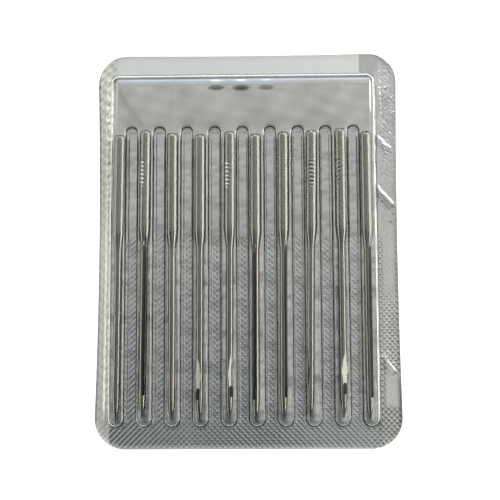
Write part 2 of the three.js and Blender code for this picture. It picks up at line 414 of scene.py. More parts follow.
def wall_profile(offset, fillet):
    """Reach from a ridge's middle line, and height, from its crest to the middle of a land.

    A low parabola over the crest, an arc over the shoulder, a leaning wall, a fillet and the flat land.
    offset is 0 inside the sheet and its thickness outside, and the two sides' arcs share their middles.
    """
    radius = SHOULDER_RADIUS + offset
    arc = np.linspace(CREST_TILT, math.pi / 2.0, SHOULDER_STEPS + 1)
    crest_end = SHOULDER_X + radius * math.sin(CREST_TILT)
    crest = np.linspace(0.0, crest_end, CREST_STEPS + 1)[:-1]
    crest_z = SPRING_Z + radius * math.cos(CREST_TILT)
    fillet_z = FOIL_TOP + SHEET_THICKNESS + fillet
    lean = FOOT_SPREAD / (SPRING_Z - FOIL_TOP)
    wall_z = np.linspace(SPRING_Z, fillet_z, WALL_STEPS + 1)[1:]
    fillet_x = HALF_CHANNEL + SHEET_THICKNESS + lean * (SPRING_Z - fillet_z) + fillet
    fillet_radius = fillet + SHEET_THICKNESS - offset
    turn = np.linspace(0.0, math.pi / 2.0, FILLET_STEPS + 1)[1:]
    reach = np.concatenate([
        crest,
        SHOULDER_X + radius * np.sin(arc),
        HALF_CHANNEL + offset + lean * (SPRING_Z - wall_z),
        fillet_x - fillet_radius * np.cos(turn),
        np.linspace(fillet_x, HALF_PITCH, LAND_STEPS + 1)[1:],
    ])
    height = np.concatenate([
        crest_z + 0.5 * math.tan(CREST_TILT) * (crest_end - crest ** 2 / crest_end),
        SPRING_Z + radius * np.cos(arc),
        wall_z,
        fillet_z - fillet_radius * np.sin(turn),
        np.full(LAND_STEPS, FOIL_TOP + offset),
    ])
    return reach, height


def run_out(reach, edge):
    """A profile's reaches carried on from the middle of a land to an edge of the flange."""
    return np.concatenate([reach, np.linspace(HALF_PITCH, edge, FLANGE_STEPS + 1)[1:]])


def formed_surface(offset):
    """One side of the formed sheet as a grid of points, with which of them lie inside the outline.

    Every grid line keeps its place on the wall profile, numbered from the crest outwards. A cell's height
    is the profile's at the larger of its two numbers, so lines run round a channel's end, a land's end and
    the chamber's far corners as concentric squares, which are then turned into circles.
    """
    sizes = user_sizes()
    reach, height = wall_profile(offset, sizes.foot_fillet / MM)
    last = len(reach) - 1
    steps = np.arange(last + 1, last + FLANGE_STEPS + 1)
    height = np.concatenate([height, np.full(FLANGE_STEPS, height[-1])])

    # Lines across the pack
    ridges = np.tile(np.arange(-last, last), len(RIDGE_X))
    number = np.concatenate([-steps[::-1], ridges, [last], steps])
    middle = np.concatenate([
        np.full(FLANGE_STEPS, RIDGE_X[0]),
        np.repeat(RIDGE_X, 2 * last),
        np.full(FLANGE_STEPS + 1, RIDGE_X[-1]),
    ])
    left_reach = run_out(reach, RIDGE_X[0] - TRAY_LOW[0])
    right_reach = run_out(reach, TRAY_HIGH[0] - RIDGE_X[-1])
    across = np.abs(number)
    side = np.sign(number)
    x_line = middle + np.where(number < 0, -left_reach[across], right_reach[across])
    outer = ((middle == RIDGE_X[0]) & (number < 0)) | ((middle == RIDGE_X[-1]) & (number > 0))

    # Lines along the pack
    low_reach = run_out(reach, CHANNEL_END_Y - TRAY_LOW[1])
    far_reach = run_out(reach, TRAY_HIGH[1] - FAR_WALL_Y)
    straight = np.linspace(CHANNEL_END_Y, LAND_END_Y, STRAIGHT_STEPS + 1)[1:-1]
    chamber = np.linspace(LAND_END_Y + HALF_PITCH, FAR_WALL_Y, CHAMBER_STEPS + 1)[1:-1]
    ends = np.arange(len(low_reach))
    y_line = np.concatenate([
        CHANNEL_END_Y - low_reach[::-1],
        straight,
        LAND_END_Y + HALF_PITCH - reach[::-1],
        chamber,
        FAR_WALL_Y + far_reach,
    ])
    none_low = np.zeros(len(y_line) - len(ends), dtype=int)
    low = np.concatenate([ends[::-1], none_low])
    far = np.concatenate([none_low, ends])
    land = np.clip(np.arange(len(y_line)) - len(ends) - len(straight), 0, last)

    x, y = np.meshgrid(x_line, y_line)
    kept = np.where(outer[None, :], across[None, :], np.minimum(across[None, :], last - land[:, None]))
    place = np.maximum(kept, np.maximum(low, far)[:, None])
    z = height[place]

    # Channel ends
    a = x - middle
    b = np.maximum(CHANNEL_END_Y - y, 0.0)
    factor = np.where(b > 0.0, rounded(a, b, CHANNEL_ROUND, HALF_PITCH), 1.0)
    # Far corners of the chamber
    c = np.maximum(y - FAR_WALL_Y, 0.0)
    at_corner = outer[None, :] & (c > 0.0)
    factor = np.where(at_corner, rounded(a, c, CHANNEL_ROUND, HALF_PITCH), factor)
    # Round ends of the lands
    land_x = middle + side * HALF_PITCH
    d = x - land_x
    e = y - LAND_END_Y
    at_land = ~outer[None, :] & (land[:, None] > 0) & (land[:, None] < last) & (far[:, None] == 0)
    land_factor = np.where(at_land, rounded(d, e, LAND_ROUND, HALF_PITCH), 1.0)
    x = np.where(at_land, land_x + d * land_factor, middle + a * factor)
    y = np.where(at_land, LAND_END_Y + e * land_factor, y + b * (1.0 - factor) - c * (1.0 - factor))

    # The roof sinks in the middle, and the walls waver
    roof = plateau(LAND_END_Y + SAG_START, LAND_END_Y + SAG_FULL, FAR_WALL_Y - SAG_FAR, FAR_WALL_Y, y)
    roof = roof * plateau(FIRST_X, FIRST_X + SAG_SIDE, LAST_X - SAG_SIDE, LAST_X, x)
    z = z - sizes.roof_sag / MM * roof * (0.75 + 0.25 * ripple(x, y, SAG_WAVES))
    order = np.round((middle - FIRST_X) / (2.0 * HALF_PITCH))
    waver = channel_ripple(y, order, WAVER_WAVES) * (1.0 - ease(WAVER_REACH, HALF_PITCH, np.abs(a)))
    x = x + sizes.wall_waver / MM * waver

    x, y, inside = card_outline(x, y)
    cut = 1.0 - ease(0.0, CUT_WIDTH, edge_distance(x, y))
    z = z + flange_lift(x, y) - CUT_SHARE * offset * cut
    x, y = waisted(x, y)
    return np.stack([x, y, z], axis=-1), inside


class NEEDLEPACK_OT_tray(bpy.types.Operator):
    """Clear formed sheet: flange, one flat-topped channel for each needle, and the empty chamber"""

    bl_idname = "needlepack.tray"
    bl_label = "Clear formed sheet"

    def execute(self, context):
        upper, inside = formed_surface(SHEET_THICKNESS)
        lower, _ = formed_surface(0.0)
        points, faces = skinned(upper, lower, inside)
        tray = make_piece("formed_sheet", points, faces, clear_sheet_material(), 50.0)
        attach(tray, "pack")
        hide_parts("clear_tray")
        return {"FINISHED"}


# The foil back

# Distances between the grid's lines: along the pack, across its field and across its side flanges
FOIL_STEP = 0.16
FIELD_FOIL_STEP = 0.18
FLANGE_FOIL_STEP = 0.08
FIELD_MARGIN = 0.2
# Gaps that keep the foil from touching the sheet above it and the floor below it
SHEET_GAP = 0.002
FLOOR_GAP = 0.0005

# Heat seal: where its knurl ends along the pack, how far that wanders, and its margin from a channel's
# middle line
SEAL_END = (PEEL_Y - 2.6, PEEL_Y + 0.4)
SEAL_WANDER = 0.5
SEAL_WAVES = ((1.0, 5.0, 10, 0.8),)
SEAL_MARGIN = (1.22, 1.42)
# Where, from left to right, one set of knurled lines is crossed by another
CROSSING = (-16.0, 2.0)
# On the right flange: faint share of the knurl, where it gets strong, and the slanting line that ends it
FAINT_KNURL = 0.3
STRONG_KNURL_Y = (-4.0, -9.0)
STRONG_KNURL_X = (17.7, 18.6)
SMOOTH_CORNER = (17.7, -14.0)
SMOOTH_SLANT = 1.3
SMOOTH_END = (-22.4, -20.4)

# Dimples of the left flange, and grain of both upper flanges
DIMPLE_WAVES = ((0.5, 1.3, 70, 0.4), (0.5, 0.83, 115, 1.9), (0.4, 0.62, 20, 0.3), (0.3, 0.55, 160, 2.2))
GRAIN_HEIGHT = 0.006
GRAIN_WAVES = ((0.5, 0.83, 28, 0.3), (0.5, 0.71, 101, 1.7), (0.4, 1.27, 163, 0.2), (0.4, 0.94, 62, 2.6))

# Slack foil: domes in the channels, waves and a pillow under the chamber
DOME_HEIGHT = 0.075
DOME_REACH = 1.12
DOME_WAVES = ((0.25, 0.31, 1.7), (0.1, 1.7, 2.9), (0.05, 4.3, 0.7))
SLACK_HEIGHT = 0.012
SLACK_WAVES = ((0.5, 11.0, 28, 0.6), (0.3, 6.3, 145, 2.0), (0.2, 3.9, 60, 0.9))
PILLOW_HEIGHT = 0.08
# Rises of the foil against the far wall: full height, half width, then each one's place and share of height
SWELLING_HEIGHT = 0.05
SWELLING_REACH = 1.15
SWELLINGS = ((-4.2, 1.0), (-0.8, 1.1), (2.6, 0.7))
# Pinched lines on the right flange: start, end and height
CREASES = (
    ((17.5, 15.2), (19.6, 13.3), 0.06),
    ((17.3, 8.4), (19.9, 5.7), 0.085),
    ((17.7, -14.0), (19.7, -16.6), 0.04),
)

# Lighter and darker bands over the chamber: share, direction across the band, its distance from the
# origin, its half width, and the places across the pack where it starts and is full
BANDS = (
    (0.12, (0.502, 0.865), 21.8, 1.0, (6.0, 8.0)),
    (-0.16, (0.832, 0.555), -2.66, 0.8, (-12.5, -13.5)),
)
# Pale upright streaks over the chamber, and their half width
PALE_STREAKS = (-9.8, -6.7)
STREAK_WIDTH = 0.5
CHAMBER_WAVES = ((0.6, 7.0, 35, 0.2), (0.5, 3.1, 140, 1.3), (0.4, 1.9, 75, 0.6))
BLOTCH_WAVES = ((0.6, 1.1, 50, 0.4), (0.6, 0.7, 130, 1.2))
STAIN_WAVES = ((0.6, 4.3, 80, 0.5), (0.5, 2.3, 55, 1.1), (0.5, 1.4, 120, 2.0), (0.4, 0.9, 85, 0.3))
CHANNEL_SHADE_WAVES = ((0.7, 5.9, 84, 0.3), (0.6, 3.7, 97, 1.9), (0.3, 1.7, 88, 0.7))
# Painted shadow along the pack's cut edges: how far in it fades, and its darkness on the left and on the
# right
EDGE_SHADOW_SPAN = (0.14, 0.34)
EDGE_SHADOW_LEFT = 0.6
EDGE_SHADOW_RIGHT = 0.25
# Dark marks on the foil: place, half length, half width and share of darkness
MARKS = (
    (-4.2, 21.95, 1.4, 0.46, 0.64),
    (-0.8, 21.9, 1.5, 0.52, 0.72),
    (2.6, 21.9, 1.35, 0.46, 0.56),
    (19.3, 3.3, 0.14, 0.14, 0.9),
)


def ridge_distance(x, y):
    """Distance from the nearest channel's middle line, and that line's number."""
    order = np.clip(np.round((x - FIRST_X) / (2.0 * HALF_PITCH)), 0, len(RIDGE_X) - 1)
    aside = x - (FIRST_X + 2.0 * HALF_PITCH * order)
    below = np.maximum(CHANNEL_END_Y - y, 0.0)
    return np.hypot(aside, below), order


def left_edge(full, none, x):
    """Share of the left flange: 1 up to full and 0 from none on, both measured in from its edge."""
    return 1.0 - ease(full, none, x - TRAY_LOW[0])


def seal_strength(x, y):
    """Where the heat seal has pressed its knurl into the foil: lands and flange below the peel line."""
    distance, _ = ridge_distance(x, y)
    below_peel = 1.0 - ease(*SEAL_END, y + SEAL_WANDER * ripple(x, y, SEAL_WAVES))
    plain_left = 1.0 - 0.85 * left_edge(1.3, 1.9, x) * ease(-25.0, -23.0, y)
    field = below_peel * ease(*SEAL_MARGIN, distance) * plain_left

    # Faint high on the right flange, strong lower down at its edge, and smooth below a slanting line
    right_flange = ease(LAST_X + 1.6, LAST_X + 2.2, x)
    strong = ease(*STRONG_KNURL_Y, y) * ease(*STRONG_KNURL_X, x - 0.1 * np.minimum(y + 16.0, 0.0))
    above_line = y - SMOOTH_CORNER[1] + SMOOTH_SLANT * (x - SMOOTH_CORNER[0])
    smooth = 0.9 * ease(*SMOOTH_END, y) * (1.0 - ease(-1.0, 0.6, above_line))
    flange = (FAINT_KNURL + (1.0 - FAINT_KNURL) * strong) * (1.0 - smooth)
    return field + right_flange * (flange - field)


def knurl(x, y):
    """The seal's knurl from 0 to 1: rounded lines one way, crossed by lines the other way on the right."""
    turn = math.sqrt(0.5) * 2.0 * math.pi * MM / user_sizes().knurl_pitch
    lines = 0.5 + 0.5 * np.cos(turn * (x - y))
    cross_lines = 0.5 + 0.5 * np.cos(turn * (x + y))
    crossed = 0.25 + 0.75 * ease(*CROSSING, x)
    return lines * (1.0 - crossed * (1.0 - cross_lines))


def crinkle(x, y):
    """How far the foil sinks below the left flange's bend: small dimples, deep in the upper part."""
    dimples = np.clip(0.45 + 0.5 * ripple(x, y, DIMPLE_WAVES), 0.0, 1.0)
    depth = 0.3 + 0.6 * ease(3.0, 10.0, y)
    return plateau(*BEND_RUN, y) * left_bend(x) * depth * dimples


def grain(x, y):
    """Depth of the pebbled grain: on both upper flanges, and in one rough spot at the right edge."""
    right = ease(LAST_X + 1.5, LAST_X + 2.3, x) * ease(9.0, 15.0, y)
    spot = ease(19.1, 19.6, x) * hill(-15.6, 2.8, y)
    left = 0.7 * left_edge(1.2, 1.7, x) * ease(4.0, 12.0, y)
    crest = sum(wave[0] for wave in GRAIN_WAVES)
    return GRAIN_HEIGHT * np.maximum(right + spot, left) * (crest - ripple(x, y, GRAIN_WAVES))


def dome(x, y):
    """Foil risen into the channels: a parabola across each one, uneven along it, up to the lands' ends."""
    distance, order = ridge_distance(x, y)
    across = np.clip(1.0 - (distance / DOME_REACH) ** 2, 0.0, 1.0)
    below_chamber = 1.0 - ease(LAND_END_Y - 1.0, LAND_END_Y + 1.0, y)
    return DOME_HEIGHT * across * below_chamber * (0.85 + channel_ripple(y, order, DOME_WAVES))


def swelling(x, y, place, share):
    """A low rise of the foil against the far wall: it climbs in an oval front and stays up behind it."""
    along = plateau(FAR_WALL_Y - 0.75, FAR_WALL_Y - 0.1, FAR_WALL_Y + 0.3, FAR_WALL_Y + 0.9, y)
    return SWELLING_HEIGHT * share * hill(place, SWELLING_REACH, x) * along


def chamber_slack(x, y):
    """Slack foil under the chamber: low waves, one pillow that fills it, and rises against the far wall."""
    open_foil = plateau(LAND_END_Y + 1.0, LAND_END_Y + 2.6, FAR_WALL_Y - 0.6, FAR_WALL_Y + 0.6, y)
    waves = SLACK_HEIGHT * open_foil * (1.0 + ripple(x, y, SLACK_WAVES))
    pillow = plateau(LAND_END_Y + 0.3, LAND_END_Y + 4.4, FAR_WALL_Y + 0.52, FAR_WALL_Y + 1.08, y)
    pillow = pillow * plateau(FIRST_X - 0.6, FIRST_X - 0.34, LAST_X + 0.54, LAST_X + 0.8, x)
    return waves + PILLOW_HEIGHT * pillow + sum(swelling(x, y, *rise) for rise in SWELLINGS)


def crease(x, y, start, end, height):
    """A pinched line in the foil between two points: a gentle climb and a steep fall on its upper right."""
    start, end = np.array(start), np.array(end)
    length = np.linalg.norm(end - start)
    unit = (end - start) / length
    along = (x - start[0]) * unit[0] + (y - start[1]) * unit[1]
    aside = (y - start[1]) * unit[0] - (x - start[0]) * unit[1]
    run = plateau(-0.3, 0.5, length - 0.5, length + 0.3, along)
    return height * run * plateau(-1.6, -0.12, -0.12, 0.12, aside)


def foil_height(x, y):
    """Height of the foil's upper side: flat, knurled where sealed, slack over channels and chamber."""
    sizes = user_sizes()
    pressed = sizes.knurl_depth / MM * seal_strength(x, y) * (1.0 - knurl(x, y))
    creases = sum(crease(x, y, *line) for line in CREASES) * ease(LAST_X + 1.2, LAST_X + 1.5, x)
    raised = dome(x, y) + chamber_slack(x, y) + creases + flange_lift(x, y)
    height = FOIL_TOP - SHEET_GAP + raised - pressed - grain(x, y) - crinkle(x, y)
    return np.maximum(height, sizes.foil_thickness / MM + FLOOR_GAP)


def chamber_tone(x, y):
    """Lighter and darker shares over the chamber: soft waves, slanting bands and upright streaks."""
    tone = 0.08 * ripple(x, y, CHAMBER_WAVES)
    for share, direction, place, half_width, span in BANDS:
        along = direction[0] * x + direction[1] * y
        tone = tone + share * hill(place, half_width, along) * ease(*span, x)
    tone = tone + 0.06 * sum(hill(place, STREAK_WIDTH, x) for place in PALE_STREAKS)
    return tone * plateau(LAND_END_Y + 0.4, LAND_END_Y + 1.6, FAR_WALL_Y - 0.2, FAR_WALL_Y + 0.3, y)


def field_tone(x, y):
    """Darker shares between the flanges: stains, and patches of painted shade on the foil under and beside
    the needles, along the channels below the peel line.
    """
    across = plateau(FIRST_X - 1.4, FIRST_X - 1.0, LAST_X + 1.0, LAST_X + 1.4, x)
    field = across * plateau(-24.0, -22.0, LAND_END_Y - 1.5, LAND_END_Y, y)
    stains = np.clip(ripple(x, y, STAIN_WAVES), -0.6, 1.2)
    distance, _ = ridge_distance(x, y)
    # Painted shade in patches on the foil under and beside the needles, below the peel line
    in_channel = (1.0 - ease(0.8, 1.15, distance)) * (1.0 - ease(PEEL_Y - 4.0, PEEL_Y, y))
    shade_patches = np.clip(ripple(x, y, CHANNEL_SHADE_WAVES) - 0.35, 0.0, 1.0)
    return 0.12 * field * stains + 0.4 * in_channel * shade_patches


def foil_tone(x, y):
    """Share by which the foil is lighter or darker: chamber, field, blotched left side, painted shadow
    along the cut edges, and marks.
    """
    corner = (1.0 - ease(-18.4, -17.2, x)) * ease(21.0, 23.5, y)
    left_flange = left_edge(1.5, 1.9, x) * (1.0 - corner)
    blotches = ripple(x, y, BLOTCH_WAVES)
    tone = chamber_tone(x, y) - field_tone(x, y) + corner * (0.2 * blotches - 0.15)
    tone = tone + left_flange * (0.11 * blotches - 0.2 * ease(0.0, 8.0, y))
    # Painted shadow along the cut edges, darker on the left than on the right
    tone = tone - EDGE_SHADOW_LEFT * left_edge(*EDGE_SHADOW_SPAN, x)
    tone = tone - EDGE_SHADOW_RIGHT * (1.0 - ease(*EDGE_SHADOW_SPAN, TRAY_HIGH[0] - x))
    for place_x, place_y, half_length, half_width, dark in MARKS:
        away = np.hypot((x - place_x) / half_length, (y - place_y) / half_width)
        tone = tone - dark * (1.0 - ease(0.5, 1.0, away))
    return tone


def foil_columns():
    """Places across the pack where the foil's grid has lines: closer together over the side flanges."""
    left, right = FIRST_X - FIELD_MARGIN, LAST_X + FIELD_MARGIN
    spans = (
        (TRAY_LOW[0], left, FLANGE_FOIL_STEP),
        (left, right, FIELD_FOIL_STEP),
        (right, TRAY_HIGH[0], FLANGE_FOIL_STEP),
    )
    lines = [np.linspace(low, high, int(round((high - low) / step)) + 1)[:-1] for low, high, step in spans]
    return np.concatenate([*lines, [TRAY_HIGH[0]]])


def foil_panel(name, low_y, high_y, material):
    """The foil between two places along the pack, as a closed thin shell with its seal and tone."""
    thickness = user_sizes().foil_thickness / MM
    rows = int(round((high_y - low_y) / FOIL_STEP)) + 1
    x, y = np.meshgrid(foil_columns(), np.linspace(low_y, high_y, rows))
    x, y, inside = card_outline(x, y)
    z = foil_height(x, y)
    seal = seal_strength(x, y)
    off_right_flange = 1.0 - ease(LAST_X + 1.4, LAST_X + 1.8, x)
    values = {"seal": seal, "dull": seal * off_right_flange, "tone": foil_tone(x, y)}
    both_sides = {attribute: np.tile(value.reshape(-1), 2) for attribute, value in values.items()}
    x, y = waisted(x, y)
    upper = np.stack([x, y, z], axis=-1)
    lower = np.stack([x, y, np.maximum(z - thickness, FLOOR_GAP)], axis=-1)
    points, faces = skinned(upper, lower, inside)
    return make_piece(name, points, faces, material, 60.0, both_sides)


class NEEDLEPACK_OT_foil(bpy.types.Operator):
    """Foil back: the sealed lower panel, and the upper flap above the peel line"""

    bl_idname = "needlepack.foil"
    bl_label = "Foil back"

    def execute(self, context):
        material = foil_material()
        sealed = foil_panel("sealed_foil", TRAY_LOW[1], PEEL_Y, material)
        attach(sealed, "pack")
        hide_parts("foil_sealed_panel")
        flap = foil_panel("peel_foil", PEEL_Y, TRAY_HIGH[1], material)
        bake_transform(flap)
        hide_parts("foil_peel_flap")
        return {"FINISHED"}


# The needles

# Grid lines round the eye, in its half widths, and the angle of its side seen from the axis
EYE_LINES = np.array([0.0, 0.25, 0.5, 0.75, 1.0, 1.25, 1.6, 2.1])
EYE_ANGLE = math.asin(EYE_HALF_WIDTH / BLADE_RADIUS)
# Stamped ticks: the stretch of shank with close grid lines, where the row starts and ends, pitch and depth
TICK_LINES = (SHANK_START + 4.6, SHANK_START + 9.4)
TICK_RUN = (5.4, 5.6, 9.0, 9.2)
TICK_PITCH = 0.55
TICK_DEPTH = 0.07
TICK_ANGLES = (0.25, 0.5)
# Where a point counts as on the eye's rim
RIM = 1e-6


def needle_lines():
    """Places along the needle that its grid has lines at, from tip to butt, and their plain radii.

    A parabola from the tip to the eye, a straight blade, an eased taper, the shank and an oval round butt.
    """
    share = np.linspace(0.0, 1.0, 15)
    first, second, third = (1 - share) ** 2, 2 * share * (1 - share), share ** 2
    point_y = first * TIP_RADIUS + second * POINT_PULL + third * EYE_MIDDLE
    point_r = first * TIP_RADIUS + second * BLADE_RADIUS + third * BLADE_RADIUS
    round_end = EYE_HALF_LENGTH - EYE_HALF_WIDTH
    offsets = np.concatenate([round_end + EYE_HALF_WIDTH * EYE_LINES, np.linspace(0.0, round_end, 4)[:-1]])
    eye_y = np.concatenate([EYE_MIDDLE - offsets, EYE_MIDDLE + offsets])
    ticks = np.linspace(*TICK_LINES, 70)
    turn = np.linspace(0.0, math.pi / 2.0, 9)
    butt_r = SHANK_RADIUS - BUTT_ROUND * (1.0 - np.cos(turn))
    butt_y = NEEDLE_LENGTH - BUTT_LENGTH + BUTT_LENGTH * np.sin(turn)
    body = np.concatenate([
        np.linspace(TIP_RADIUS, eye_y.min(), 14)[:-1],
        eye_y,
        np.linspace(eye_y.max(), TAPER_START, 34)[1:],
        np.linspace(TAPER_START, SHANK_START, 9)[1:],
        np.linspace(SHANK_START, ticks[0], 8)[1:-1],
        ticks,
        np.linspace(ticks[-1], butt_y[0], 8)[1:-1],
    ])
    body = np.unique(np.round(body, 6))
    widening = ease(TAPER_START - TAPER_BLEND, SHANK_START + TAPER_BLEND, body)
    taper = BLADE_RADIUS + (SHANK_RADIUS - BLADE_RADIUS) * widening
    body_r = np.where(body < EYE_MIDDLE, np.interp(body, point_y, point_r), taper)
    y = np.concatenate([[0.0], body, butt_y, [NEEDLE_LENGTH, NEEDLE_LENGTH]])
    radius = np.concatenate([[0.0], body_r, butt_r, [0.2, 0.0]])
    return y, radius


def needle_surface(stamp, stamp_shade):
    """A needle along +Y with its tip at the origin, its groove up and its eye open through it.

    Turned outline swept round the axis; the groove lowers the upper side, the scarf raises the lower one.
    Round the eye the grid's lines close into a slot with round ends, its cells are left out above and
    below, and walls join the two openings. The groove and the eye carry painted shade. stamp is the
    angle that a row of ticks is pressed in at, or None, and stamp_shade is the painted shade on them,
    negative for a painted highlight.
    """
    y_line, radius = needle_lines()
    eye_side = EYE_ANGLE * EYE_LINES
    quarter = np.concatenate([eye_side, np.linspace(eye_side[-1], math.pi / 2.0, 5)[1:]])
    upper_half = np.concatenate([-quarter[::-1], quarter[1:]])
    angle = np.concatenate([upper_half, math.pi + upper_half[1:-1]])
    columns, rows = len(angle), len(y_line)
    theta, y = np.meshgrid(angle, y_line)
    r = np.repeat(radius[:, None], columns, axis=1)

    # Lines round the eye
    front = np.where(theta <= math.pi / 2.0, theta, theta - math.pi)
    a = front / EYE_ANGLE
    past = np.abs(y - EYE_MIDDLE) - (EYE_HALF_LENGTH - EYE_HALF_WIDTH)
    b = np.maximum(past, 0.0) / EYE_HALF_WIDTH
    factor = np.where((b > 0.0) & (b < 2.2), rounded(a, b, 1.25, 2.1), 1.0)
    turned = theta + front * (factor - 1.0)
    bent_y = y + np.sign(y - EYE_MIDDLE) * EYE_HALF_WIDTH * b * (factor - 1.0)

    # Groove, scarf and ticks
    x = r * np.sin(turned)
    z = r * np.cos(turned)
    in_groove = np.sqrt(np.clip(1.0 - (x / GROOVE_HALF_WIDTH) ** 2, 0.0, 1.0))
    groove_run = plateau(EYE_MIDDLE - 0.2, EYE_MIDDLE + 0.9, TAPER_START - 1.0, SHANK_START - 1.0, y)
    # Painted shade: the groove's hollow is marked for a near-black colour in the material
    shade = np.where(z > 0.0, groove_run * ease(0.0, 0.6, in_groove), 0.0)
    z = np.where(z > 0.0, z - GROOVE_DEPTH * groove_run * in_groove, z)
    from_scarf = (y - EYE_MIDDLE - 0.45 * SCARF_LENGTH) / (0.5 * SCARF_LENGTH)
    scarf = SCARF_DEPTH * np.clip(1.0 - from_scarf ** 2, 0.0, 1.0)
    z = np.where((z < 0.0) & (scarf > 0.0), np.maximum(z, scarf - BLADE_RADIUS), z)
    if stamp is not None:
        place = y - SHANK_START
        tick = ease(0.2, 0.8, np.cos(2.0 * math.pi * place / TICK_PITCH)) * plateau(*TICK_RUN, place)
        away = np.abs((turned - stamp + math.pi) % (2.0 * math.pi) - math.pi)
        pressed = tick * (1.0 - ease(*TICK_ANGLES, away))
        dent = 1.0 - TICK_DEPTH * pressed
        x, z = x * dent, z * dent
        # The ticks' dents carry painted shade; a negative stamp_shade paints a highlight instead
        shade = shade + stamp_shade * pressed
    points = np.stack([x, bent_y, z], axis=-1).reshape(-1, 3)

    # Opening of the eye
    in_eye = (np.abs(a) < 1.0 + RIM) & (np.abs(y - EYE_MIDDLE) < EYE_HALF_LENGTH + RIM)
    # Painted shade: the eye's rim and walls are marked in full
    shade = np.where(in_eye, 1.0, shade).reshape(-1)
    quads = grid_quads(rows, columns, wrap=True)[:, ::-1]
    open_cell = in_eye.reshape(-1)[quads].all(axis=1)
    rim = border(quads[open_cell])
    half = len(upper_half)
    column = rim % columns
    on_top = (column < half).all(axis=1)
    rim, column = rim[on_top], column[on_top]
    centre = half // 2
    back_centre = half + (half - 2) // 2
    opposite = back_centre - (column - centre)
    below = rim - column + opposite
    walls = np.stack([rim[:, 0], rim[:, 1], below[:, 1], below[:, 0]], axis=-1)
    return points, np.concatenate([quads[~open_cell], walls]), shade


def laid_needle(points, roll, butt, neck):
    """A needle's points rolled about its axis, then leaned in its channel, its axis still level."""
    x = points[:, 0] * math.cos(roll) + points[:, 2] * math.sin(roll)
    z = points[:, 2] * math.cos(roll) - points[:, 0] * math.sin(roll)
    lean = (neck - butt) * SIDE_CLEARANCE / SHANK_LENGTH
    aside = butt * SIDE_CLEARANCE + lean * (NEEDLE_LENGTH - points[:, 1])
    return np.stack([x + aside, points[:, 1], z], axis=-1)


class NEEDLEPACK_OT_needles(bpy.types.Operator):
    """Loose needles: butt, shank, taper, grooved blade, scarf, eye and point"""

    bl_idname = "needlepack.needles"
    bl_label = "Needles"

    def execute(self, context):
        material = needle_material()
        for number, name in enumerate(NEEDLES):
            roll, butt, neck = NEEDLE_LIES[number]
            stamp_angle, stamp_shade = STAMPED.get(number, (None, 0.0))
            stamp = None if stamp_angle is None else math.radians(stamp_angle - roll)
            points, quads, shade = needle_surface(stamp, stamp_shade)
            placed = laid_needle(points, math.radians(roll), butt, neck)
            low, high = box_mm(name)
            placed += (RIDGE_X[number], low[1], (low[2] + high[2]) / 2.0)
            piece = make_piece(f"{name}_steel", placed, quads, material, 45.0, {"shade": shade})
            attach(piece, name)
            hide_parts(name)
        return {"FINISHED"}


# Materials


class Graph:
    """A node tree in the making: its methods add nodes and hand back the sockets with their results."""

    def __init__(self, tree):
        self.nodes = tree.nodes
        self.links = tree.links

    def feed(self, socket, value):
        """Links a socket to another node's result, or gives it a plain value."""
        if isinstance(value, bpy.types.NodeSocket):
            self.links.new(value, socket)
        else:
            socket.default_value = (*value, 1.0) if socket.type == "RGBA" else value

    def fill(self, node, **values):
        """Sets a node's settings, and feeds its sockets where it has no setting of that name."""
        for name, value in values.items():
            if hasattr(node, name):
                setattr(node, name, value)
            else:
                self.feed(node.inputs[name.replace("_", " ")], value)
        return node

    def node(self, kind, **values):
        """A new node of that kind, filled in."""
        return self.fill(self.nodes.new(kind), **values)

    def calculated(self, operation, *values):
        """The result of a Math node."""
        node = self.node("ShaderNodeMath", operation=operation)
        for socket, value in zip(node.inputs, values):
            self.feed(socket, value)
        return node.outputs[0]

    def product(self, first, *others):
        """Values multiplied together."""
        for other in others:
            first = self.calculated("MULTIPLY", first, other)
        return first

    def dot(self, vector, direction):
        """A vector's dot product with a direction."""
        node = self.node("ShaderNodeVectorMath", operation="DOT_PRODUCT")
        self.feed(node.inputs[0], vector)
        self.feed(node.inputs[1], direction)
        return node.outputs["Value"]

    def mapped(self, value, low, high, new_low=0.0, new_high=1.0):
        """A value carried from one range to another, eased."""
        node = self.node(
            "ShaderNodeMapRange", interpolation_type="SMOOTHSTEP", Value=value,
            From_Min=low, From_Max=high, To_Min=new_low, To_Max=new_high)
        return node.outputs["Result"]

    def mapped_mm(self, place, low, high, new_low=0.0, new_high=1.0):
        """A place along an axis carried to another range, eased, with its own range in millimetres."""
        return self.mapped(place, low * MM, high * MM, new_low, new_high)

    def mixed(self, factor, first, second, kind="RGBA"):
        """Two colours, or two plain values where kind is FLOAT, mixed by a factor."""
        node = self.node("ShaderNodeMix", data_type=kind, Factor=factor)
        wanted = "VALUE" if kind == "FLOAT" else kind
        for name, value in (("A", first), ("B", second)):
            self.feed(next(s for s in node.inputs if s.name == name and s.type == wanted), value)
        return next(s for s in node.outputs if s.type == wanted)

    def noise(self, vector, scale, detail):
        """Noise as a value."""
        return self.node("ShaderNodeTexNoise", Vector=vector, Scale=scale, Detail=detail).outputs["Fac"]

    def attribute(self, name):
        """A point attribute of the piece as a value."""
        return self.node("ShaderNodeAttribute", attribute_name=name).outputs["Fac"]

    def bumped(self, height, distance, **values):
        """A normal bent by a height, with the bump's distance in millimetres."""
        node = self.node("ShaderNodeBump", Height=height, Distance=distance * MM, **values)
        return node.outputs["Normal"]


def new_material(name):
    """A material with its node graph, its Principled BSDF and its output."""
    material = bpy.data.materials.new(name)
    material.use_nodes = True
    graph = Graph(material.node_tree)
    return material, graph, graph.nodes["Principled BSDF"], graph.nodes["Material Output"]


